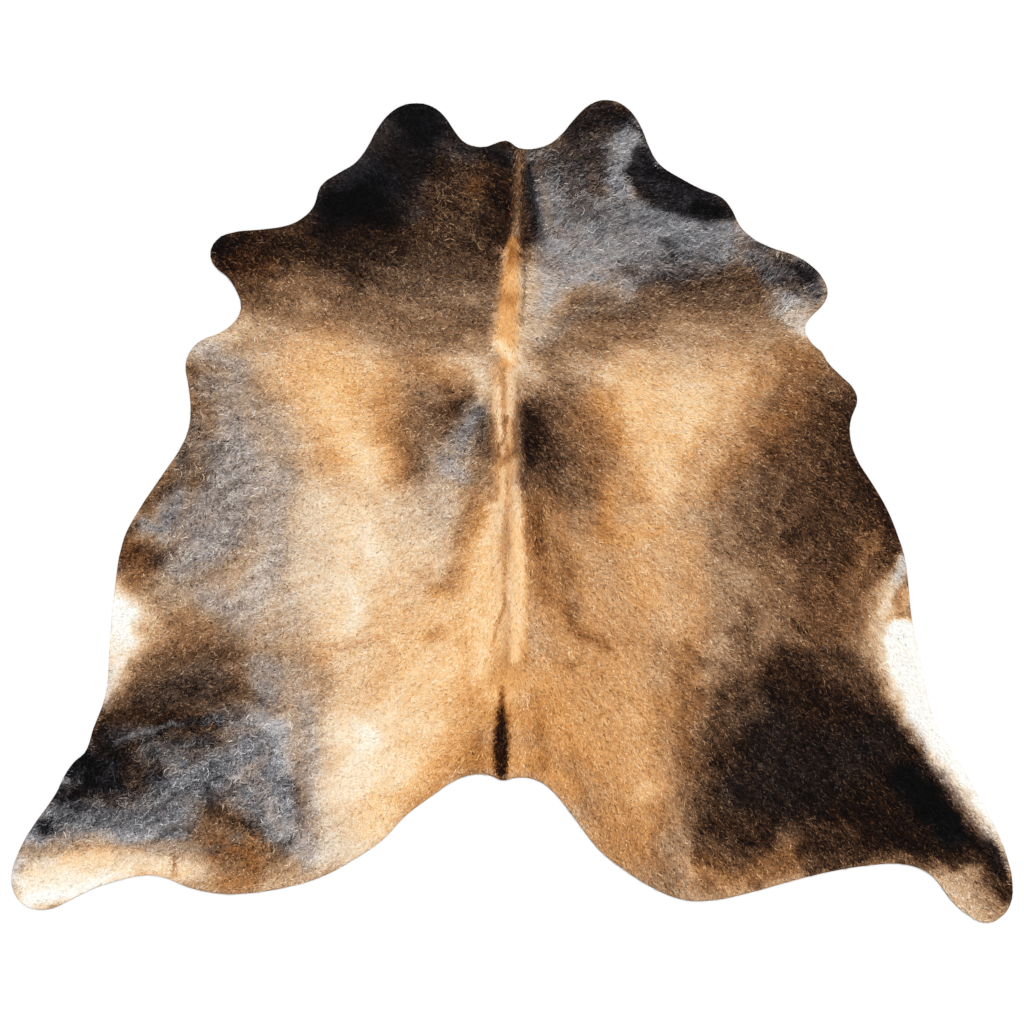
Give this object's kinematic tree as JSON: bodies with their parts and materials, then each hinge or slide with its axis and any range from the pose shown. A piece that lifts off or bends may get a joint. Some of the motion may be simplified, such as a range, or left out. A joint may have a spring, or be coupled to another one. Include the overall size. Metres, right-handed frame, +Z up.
{
  "type": "cowhide rug",
  "caption": "Flat hair-on cow hide trimmed to its natural outline, with neck lobes, four leg stubs and a tail notch, for use as a floor rug.",
  "frame": {"origin": "on the floor, under the middle of the outline's box", "axes": "+Z up out of the coat, +X along the longest side, across the hide, +Y from tail to neck"},
  "size_m": [2.2, 1.808, 0.0068],
  "materials": {
    "coat": "hair-on leather with a short brindled coat, satin hair, suede back"
  },
  "bodies": {
    "root": {"hide": "coat"}
  },
  "joints": []
}
